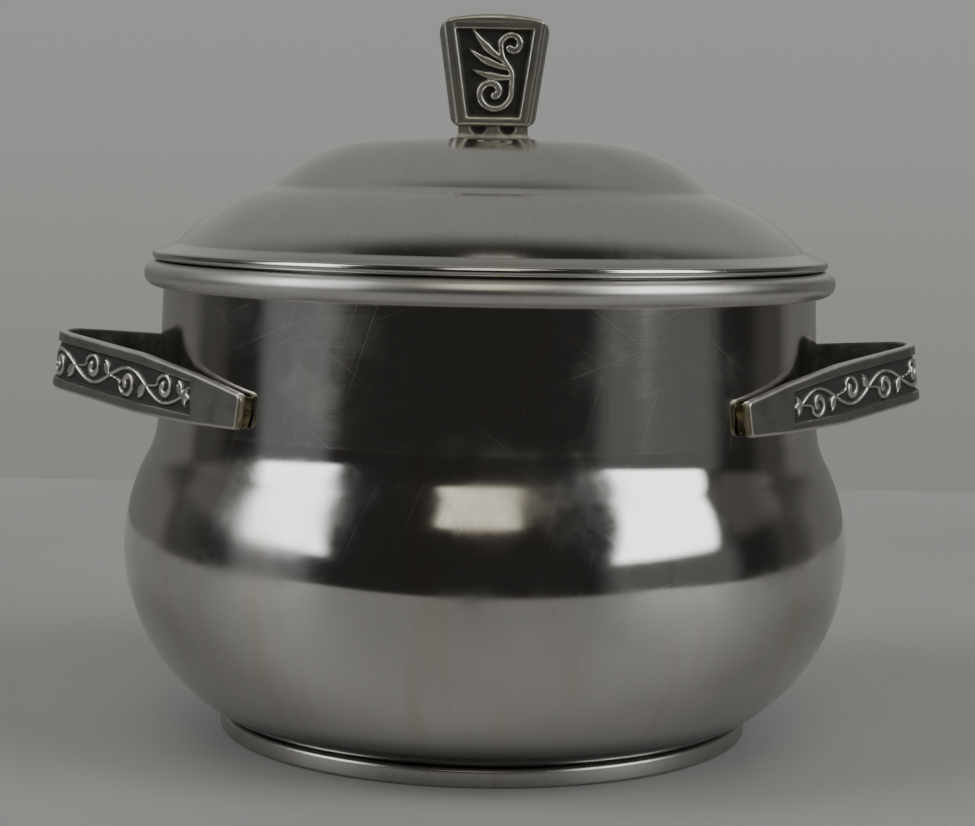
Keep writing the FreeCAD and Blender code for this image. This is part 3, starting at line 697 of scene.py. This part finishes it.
def make_knob(columns=104, turns=14):
    """The cast knob: a plate wider at its top with rounded flanks, a scroll in each face and a small foot."""
    across = np.linspace(-1, 1, columns)
    flank = np.linspace(-math.pi / 2, math.pi / 2, turns + 2)[1:-1]
    vertices = []
    dark = []
    for part, share, upper in knob_rows():
        ring, patina_and_painted_shade = knob_ring(part, share, upper, across, flank)
        vertices.append(np.concatenate([ring, ring * np.array([-1, -1, 1])]))
        dark.append(np.concatenate([patina_and_painted_shade, patina_and_painted_shade]))
    rows = len(vertices)
    loop = len(vertices[0])
    faces = [list(face[::-1]) for face in grid_faces(rows, loop, True)]
    for first, flip in ((0, False), ((rows - 1) * loop, True)):
        front = [first + i for i in range(columns)]
        back = [first + columns + turns + i for i in range(columns)][::-1]
        right = [first + columns + i for i in range(turns)]
        left = [first + 2 * columns + turns + i for i in range(turns)]
        strip = list(zip(front, back))
        caps = [[a, b, d, c] for (a, c), (b, d) in zip(strip, strip[1:])]
        caps.append([front[-1], *right, back[-1]])
        caps.append([back[0], *left, front[0]])
        faces.extend([cap if flip else cap[::-1] for cap in caps])
    points = np.concatenate(vertices)
    piece = make_object("knob_mesh", points, faces, "lid", math.radians(55))
    set_tone(piece, "patina_and_painted_shade", np.concatenate(dark))
    return piece


# ---------------------------------------------------------------- materials


def add_node(tree, kind, settings=None, inputs=None):
    """Add a node to a tree; settings are its properties and inputs its sockets, by name or number."""
    made = tree.nodes.new(kind)
    for key, item in (settings or {}).items():
        setattr(made, key, item)
    for key, item in (inputs or {}).items():
        if isinstance(item, bpy.types.NodeSocket):
            tree.links.new(item, made.inputs[key])
        else:
            made.inputs[key].default_value = item
    return made


class Shader:
    """A small builder for one material's node tree."""

    def __init__(self, name):
        self.material = bpy.data.materials.new(name)
        self.material.use_nodes = True
        self.tree = self.material.node_tree
        self.surface = self.tree.nodes["Principled BSDF"]

    def node(self, kind, settings=None, inputs=None):
        """Add a node to this material."""
        return add_node(self.tree, kind, settings, inputs)

    def math(self, operation, *values):
        """One maths node over sockets or numbers."""
        return self.node("ShaderNodeMath", {"operation": operation}, dict(enumerate(values))).outputs[0]

    def ramp(self, value, low, high, out_low=0.0, out_high=1.0):
        """A smooth change from out_low to out_high as value goes from low to high."""
        inputs = {"Value": value, 1: low, 2: high, 3: out_low, 4: out_high}
        settings = {"interpolation_type": "SMOOTHSTEP"}
        return self.node("ShaderNodeMapRange", settings, inputs).outputs[0]

    def noise(self, vector, scale, detail=2.0, roughness=0.5):
        """Noise from 0 to 1 over a vector socket."""
        inputs = {"Vector": vector, "Scale": scale, "Detail": detail, "Roughness": roughness}
        return self.node("ShaderNodeTexNoise", None, inputs).outputs[0]

    def mix(self, factor, first, second):
        """A colour between two."""
        made = self.node("ShaderNodeMix", {"data_type": "RGBA"}, {0: factor, 6: first, 7: second})
        return made.outputs[2]

    def link(self, socket, name):
        """Drive one of the surface's sockets."""
        self.tree.links.new(socket, self.surface.inputs[name])


def turned_coordinates(shader, around, along):
    """Coordinates round the bowl's axis, stretched by around in angle and by along in radius and height."""
    place = shader.node("ShaderNodeTexCoord").outputs["Object"]
    parts = shader.node("ShaderNodeSeparateXYZ", None, {0: place}).outputs
    radius = shader.math("SQRT", shader.math("ADD", shader.math("MULTIPLY", parts[0], parts[0]),
                                            shader.math("MULTIPLY", parts[1], parts[1])))
    safe = shader.math("MAXIMUM", radius, 1e-5)
    across = shader.math("DIVIDE", parts[0], safe)
    deep = shader.math("DIVIDE", parts[1], safe)
    inputs = {
        0: shader.math("MULTIPLY", across, around),
        1: shader.math("MULTIPLY", deep, around),
        2: shader.math("MULTIPLY", shader.math("ADD", parts[2], shader.math("MULTIPLY", radius, 0.8)), along),
    }
    return shader.node("ShaderNodeCombineXYZ", None, inputs).outputs[0]


# Scratches: the radius in metres at which the bowl's side is unrolled, and the noise's scale each way.
UNROLL_RADIUS = 0.05
HAIR_ALONG = 45.0
HAIR_ACROSS = 4200.0


def hairlines(shader, angle, seed):
    """Long thin straight scratches lying one way over the bowl's side, as a mask."""
    place = shader.node("ShaderNodeTexCoord").outputs["Object"]
    parts = shader.node("ShaderNodeSeparateXYZ", None, {0: place}).outputs
    angle_round = shader.math("ARCTAN2", parts[0], shader.math("MULTIPLY", parts[1], -1.0))
    around = shader.math("MULTIPLY", angle_round, UNROLL_RADIUS)
    unrolled = shader.node("ShaderNodeCombineXYZ", None, {0: around, 1: parts[2]}).outputs[0]
    turned = shader.node("ShaderNodeMapping", {"vector_type": "TEXTURE"}, {
        "Vector": unrolled,
        "Location": (seed, seed * 0.7, 0.0),
        "Rotation": (0.0, 0.0, angle),
        "Scale": (1 / HAIR_ALONG, 1 / HAIR_ACROSS, 1.0),
    }).outputs[0]
    return shader.ramp(shader.noise(turned, 1.0, 0.0, 0.4), 0.72, 0.8)


# Heights in metres between which the painted shade in the seam above the foot ring fades out, and its colour.
SEAM_SHADE_HEIGHTS = (0.0085, 0.0045)
SEAM_SHADE = (0.17, 0.16, 0.15, 1)
RIM_MATTING = 0.24


def steel(name, colour, roughness, grain, smudge, matt_rim_and_seam_shade=False):
    """Spun steel: fine turning lines, hairline scratches, faint stains, and cloudy handling marks.

    The bowl's also has painted shade in the seam above its foot ring, and a rim rubbed matt by the lid.
    """
    shader = Shader(name)
    fine = shader.noise(turned_coordinates(shader, 5.0, 5200.0), 1.0, 3.0, 0.6)
    broad = shader.noise(turned_coordinates(shader, 2.0, 420.0), 1.0, 2.0, 0.5)
    place = shader.node("ShaderNodeTexCoord").outputs["Object"]
    clouds = shader.noise(place, 38.0, 5.0, 0.62)
    blotches = shader.noise(place, 150.0, 3.0, 0.55)
    runs = shader.noise(turned_coordinates(shader, 16.0, 22.0), 1.0, 4.0, 0.6)
    hair = shader.math("MAXIMUM", hairlines(shader, 0.35, 0.3), hairlines(shader, -0.6, 1.1))
    hair = shader.math("MAXIMUM", hair, hairlines(shader, 1.25, 2.7))
    rough = shader.ramp(clouds, 0.42, 0.72, roughness, roughness + smudge)
    rough = shader.math("ADD", rough, shader.math("MULTIPLY", fine, 0.03))
    rough = shader.math("ADD", rough, shader.math("MULTIPLY", hair, 0.045))
    rough = shader.math("ADD", rough, shader.ramp(blotches, 0.55, 0.8, 0.0, 0.03))
    up = shader.node("ShaderNodeSeparateXYZ", None, {0: place}).outputs[2]
    if matt_rim_and_seam_shade:
        rim = (CURL_Z - CURL_RADIUS) * MM
        rough = shader.math("ADD", rough, shader.ramp(up, rim - 0.0004, rim + 0.0004, 0.0, RIM_MATTING))
    shader.link(rough, "Roughness")
    dull = tuple(c * 0.86 for c in colour)
    stain = (colour[0] * 0.86, colour[1] * 0.78, colour[2] * 0.64)
    tint = shader.mix(shader.ramp(clouds, 0.4, 0.75), (*colour, 1), (*dull, 1))
    tint = shader.mix(shader.ramp(runs, 0.52, 0.72, 0.0, 0.4), tint, (*stain, 1))
    # Painted shade: the bowl's colour darkens towards the seam above its foot ring.
    if matt_rim_and_seam_shade:
        tint = shader.mix(shader.ramp(up, *SEAM_SHADE_HEIGHTS), tint, SEAM_SHADE)
    shader.link(tint, "Base Color")
    height = shader.math("ADD", fine, shader.math("MULTIPLY", broad, 1.2))
    bump = shader.node("ShaderNodeBump", None, {"Height": height, "Strength": grain, "Distance": 0.00001})
    shader.link(bump.outputs[0], "Normal")
    shader.surface.inputs["Metallic"].default_value = 1.0
    return shader.material


def cast_metal(name, bright, tarnish, roughness):
    """Cast nickel silver: worn bright where it stands up, with dark patina settled in its recesses, and
    painted shade on the handles' inner faces and in the knob foot's arches.
    """
    shader = Shader(name)
    place = shader.node("ShaderNodeTexCoord").outputs["Object"]
    grain = shader.noise(place, 1500.0, 3.0, 0.6)
    clouds = shader.noise(place, 260.0, 4.0, 0.6)
    # The mesh's dark amount: patina in the recesses, and painted shade on the handles' inner faces and under
    # the knob's bar.
    patina_and_shade = shader.node("ShaderNodeAttribute", {"attribute_name": "patina_and_painted_shade"}).outputs["Fac"]
    brazed = shader.node("ShaderNodeAttribute", {"attribute_name": "brass"}).outputs["Fac"]
    wander = shader.math("MULTIPLY", shader.math("SUBTRACT", clouds, 0.5), 0.5)
    dark = shader.ramp(shader.math("ADD", patina_and_shade, wander), 0.3, 0.75)
    clean = shader.mix(shader.ramp(clouds, 0.35, 0.7), (*bright, 1), (*tarnish, 1))
    rubbed = tuple(1.9 * c for c in bright)
    clean = shader.mix(shader.ramp(patina_and_shade, 0.0, -RUBBED), clean, (*rubbed, 1))
    clean = shader.mix(shader.math("MULTIPLY", brazed, 0.8), clean, (0.27, 0.225, 0.12, 1))
    shader.link(shader.mix(dark, clean, (0.045, 0.042, 0.038, 1)), "Base Color")
    shader.link(shader.math("SUBTRACT", 1.0, shader.math("MULTIPLY", dark, 0.6)), "Metallic")
    rough = shader.math("ADD", shader.ramp(clouds, 0.3, 0.7, roughness, roughness + 0.12),
                        shader.math("MULTIPLY", dark, 0.2))
    shader.link(rough, "Roughness")
    height = shader.math("ADD", shader.math("MULTIPLY", grain, 0.5), clouds)
    bump = shader.node("ShaderNodeBump", None, {"Height": height, "Strength": 0.4, "Distance": 0.00003})
    shader.link(bump.outputs[0], "Normal")
    return shader.material


def braze_metal(name):
    """Brass-coloured braze, heat-darkened in patches and slightly wrinkled."""
    shader = Shader(name)
    place = shader.node("ShaderNodeTexCoord").outputs["Object"]
    clouds = shader.noise(place, 700.0, 4.0, 0.6)
    shade = shader.ramp(clouds, 0.38, 0.62)
    shader.link(shader.mix(shade, (0.25, 0.205, 0.11, 1), (0.05, 0.04, 0.025, 1)), "Base Color")
    shader.link(shader.ramp(clouds, 0.3, 0.7, 0.28, 0.6), "Roughness")
    bump = shader.node("ShaderNodeBump", None, {"Height": clouds, "Strength": 0.6, "Distance": 0.0001})
    shader.link(bump.outputs[0], "Normal")
    shader.surface.inputs["Metallic"].default_value = 1.0
    return shader.material


def set_material(piece, material):
    """Give a piece one material."""
    piece.data.materials.clear()
    piece.data.materials.append(material)


BOWL_STEEL = steel("bowl_steel", (0.60, 0.585, 0.56), 0.065, 0.1, 0.14, matt_rim_and_seam_shade=True)
FOOT_STEEL = steel("foot_steel", (0.46, 0.45, 0.43), 0.26, 0.3, 0.10)
LID_STEEL = steel("lid_steel", (0.54, 0.535, 0.515), 0.12, 0.12, 0.06)
SCREW_STEEL = steel("fastener_steel", (0.50, 0.49, 0.47), 0.2, 0.3, 0.1)
HANDLE_METAL = cast_metal("handle_nickel_silver", (0.37, 0.36, 0.34), (0.25, 0.24, 0.22), 0.3)
KNOB_METAL = cast_metal("knob_nickel_silver", (0.47, 0.465, 0.41), (0.34, 0.33, 0.28), 0.32)
BRAZE = braze_metal("solder")


def add_piece(piece, node, material):
    """Let a detailed piece stand in for a CAD node, with one material."""
    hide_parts(node)
    set_material(piece, material)


add_piece(lathe("bowl_shell_mesh", bowl_section(), "bowl"), "bowl_shell", BOWL_STEEL)
add_piece(lathe("foot_ring_mesh", foot_section(), "bowl"), "foot_ring", FOOT_STEEL)
add_piece(lathe("lid_shell_mesh", lid_section(), "lid"), "lid_shell", LID_STEEL)
add_piece(make_handle("right_handle_mesh", 0.0), "right_handle", HANDLE_METAL)
add_piece(make_handle("left_handle_mesh", math.pi), "left_handle", HANDLE_METAL)
add_piece(make_braze("right_handle_braze", 0.0), "right_handle_solder", BRAZE)
add_piece(make_braze("left_handle_braze", math.pi), "left_handle_solder", BRAZE)
add_piece(make_knob(), "knob", KNOB_METAL)
for node, material in (
    ("lid_locating_ring", LID_STEEL),
    ("foot_ring_solder", BRAZE),
    ("knob_washer", SCREW_STEEL),
    ("knob_screw", SCREW_STEEL),
):
    set_material(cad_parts[node], material)

# ---------------------------------------------------------------- stage, light and camera


# The table top's edges from the bowl's middle, in metres: in front, behind and to each side.
FLOOR_EDGES = (-0.35, 0.27, 0.42)


def make_floor():
    """A plain pale table top, which ends a little way in front of the bowl and behind it."""
    front, back, side = FLOOR_EDGES
    mesh = bpy.data.meshes.new("table_top")
    corners = [(-side, front, 0), (side, front, 0), (side, back, 0), (-side, back, 0)]
    mesh.from_pydata(corners, [], [(0, 1, 2, 3)])
    table = bpy.data.objects.new("table_top", mesh)
    bpy.context.scene.collection.objects.link(table)
    shader = Shader("table_top")
    place = shader.node("ShaderNodeTexCoord").outputs["Object"]
    shade = shader.ramp(shader.noise(place, 9.0, 4.0), 0.3, 0.7)
    shader.link(shader.mix(shade, (0.335, 0.332, 0.325, 1), (0.365, 0.362, 0.355, 1)), "Base Color")
    shader.surface.inputs["Roughness"].default_value = 0.55
    mesh.materials.append(shader.material)


# The studio's soft lights and fills: (azimuth range, height range, lean, edge softness, colour).
# Azimuth is in degrees from the front, positive to the right; height is in degrees above the horizon.
# Lean is how many degrees a light's sides move round for each degree that they rise.
SOFT_LIGHTS = [
    ((-90, -60), (12, 58), -0.35, 5, (4.2, 4.25, 4.3)),
    ((47, 83), (12, 58), 0.35, 5, (4.2, 4.25, 4.3)),
    ((-18, 10), (33, 54), 0.0, 3, (1.5, 1.4, 1.15)),
    ((-26, 30), (54, 80), 0.0, 6, (1.5, 1.42, 1.2)),
    ((-84, -56), (-14, 13), 0.0, 8, (0.15, 0.158, 0.163)),
    ((36, 82), (-14, 13), 0.0, 10, (0.108, 0.112, 0.112)),
    ((84, 112), (14, 50), 0.0, 8, (0.07, 0.068, 0.063)),
    ((-118, -92), (14, 50), 0.0, 8, (0.07, 0.068, 0.063)),
    ((102, 258), (-10, 25), 0.0, 12, (0.045, 0.044, 0.042)),
    ((120, 240), (-10, 12), 0.0, 10, (0.10, 0.099, 0.096)),
]


# The studio between the lights, the glow overhead, and the wall that the camera sees, at its foot and above.
SURROUND = (0.027, 0.025, 0.023, 1)
OVERHEAD = (0.34, 0.34, 0.325, 1)
WALL_FOOT = (0.262, 0.256, 0.240, 1)
WALL_TOP = (0.330, 0.327, 0.315, 1)


def make_world():
    """A soft studio: a plain grey wall to the camera, and dark with soft lights to the metal."""
    world = bpy.data.worlds.new("studio")
    bpy.context.scene.world = world
    world.use_nodes = True
    tree = world.node_tree
    tree.nodes.clear()

    def add(kind, settings=None, inputs=None):
        return add_node(tree, kind, settings, inputs)

    def maths(operation, *values):
        return add("ShaderNodeMath", {"operation": operation}, dict(enumerate(values))).outputs[0]

    def rise(value, low, high):
        inputs = {"Value": value, 1: low, 2: high}
        return add("ShaderNodeMapRange", {"interpolation_type": "SMOOTHSTEP"}, inputs).outputs[0]

    direction = add("ShaderNodeTexCoord").outputs["Generated"]
    parts = add("ShaderNodeSeparateXYZ", None, {0: direction}).outputs
    azimuth = maths("DEGREES", maths("ARCTAN2", parts[0], maths("MULTIPLY", parts[1], -1.0)))
    around = maths("ADD", azimuth, maths("MULTIPLY", maths("LESS_THAN", azimuth, -100.0), 360.0))
    height = maths("DEGREES", maths("ARCSINE", parts[2]))
    overhead = maths("ADD", maths("MULTIPLY", parts[1], 0.707), maths("MULTIPLY", parts[2], 0.707))
    ceiling = rise(overhead, 0.66, 0.84)
    light = add("ShaderNodeMix", {"data_type": "RGBA"}, {0: ceiling, 6: SURROUND, 7: OVERHEAD}).outputs[2]
    for (az_low, az_high), (low, high), lean, soft, colour in SOFT_LIGHTS:
        turned = around if az_high > 180 else azimuth
        if lean:
            risen = maths("SUBTRACT", height, (low + high) / 2)
            turned = maths("SUBTRACT", turned, maths("MULTIPLY", risen, lean))
        mask = maths("MULTIPLY", rise(turned, az_low - soft / 2, az_low + soft / 2),
                     rise(turned, az_high + soft / 2, az_high - soft / 2))
        mask = maths("MULTIPLY", mask, rise(height, low - soft / 2, low + soft / 2))
        mask = maths("MULTIPLY", mask, rise(height, high + soft / 2, high - soft / 2))
        settings = {"data_type": "RGBA", "blend_type": "ADD"}
        light = add("ShaderNodeMix", settings, {0: mask, 6: light, 7: (*colour, 1)}).outputs[2]
    mirrored = add("ShaderNodeBackground", None, {0: light, 1: 1.0}).outputs[0]
    behind = rise(height, -8, 4)
    wall = add("ShaderNodeMix", {"data_type": "RGBA"}, {0: behind, 6: WALL_FOOT, 7: WALL_TOP}).outputs[2]
    seen = add("ShaderNodeBackground", None, {0: wall, 1: 1.0}).outputs[0]
    to_camera = add("ShaderNodeLightPath").outputs["Is Camera Ray"]
    both = add("ShaderNodeMixShader", None, {0: to_camera, 1: mirrored, 2: seen}).outputs[0]
    add("ShaderNodeOutputWorld", None, {0: both})


def make_camera():
    """A close camera just above the height of the lid's brim, turned slightly round its line of sight."""
    distance, height = 0.35, 0.085
    pitch, roll, yaw = math.radians(6.0), math.radians(1.05), math.radians(1.5)
    data = bpy.data.cameras.new("camera")
    data.sensor_width = 36.0
    data.lens = 84.25
    data.clip_start = 0.01
    camera = bpy.data.objects.new("camera", data)
    bpy.context.scene.collection.objects.link(camera)
    turn = Matrix.Rotation(-yaw, 4, "Z")
    aim = Matrix.Rotation(math.pi / 2 - pitch, 4, "X") @ Matrix.Rotation(roll, 4, "Z")
    camera.matrix_world = turn @ Matrix.Translation((0.0, -distance, height)) @ aim
    bpy.context.scene.camera = camera


make_floor()
make_world()
make_camera()
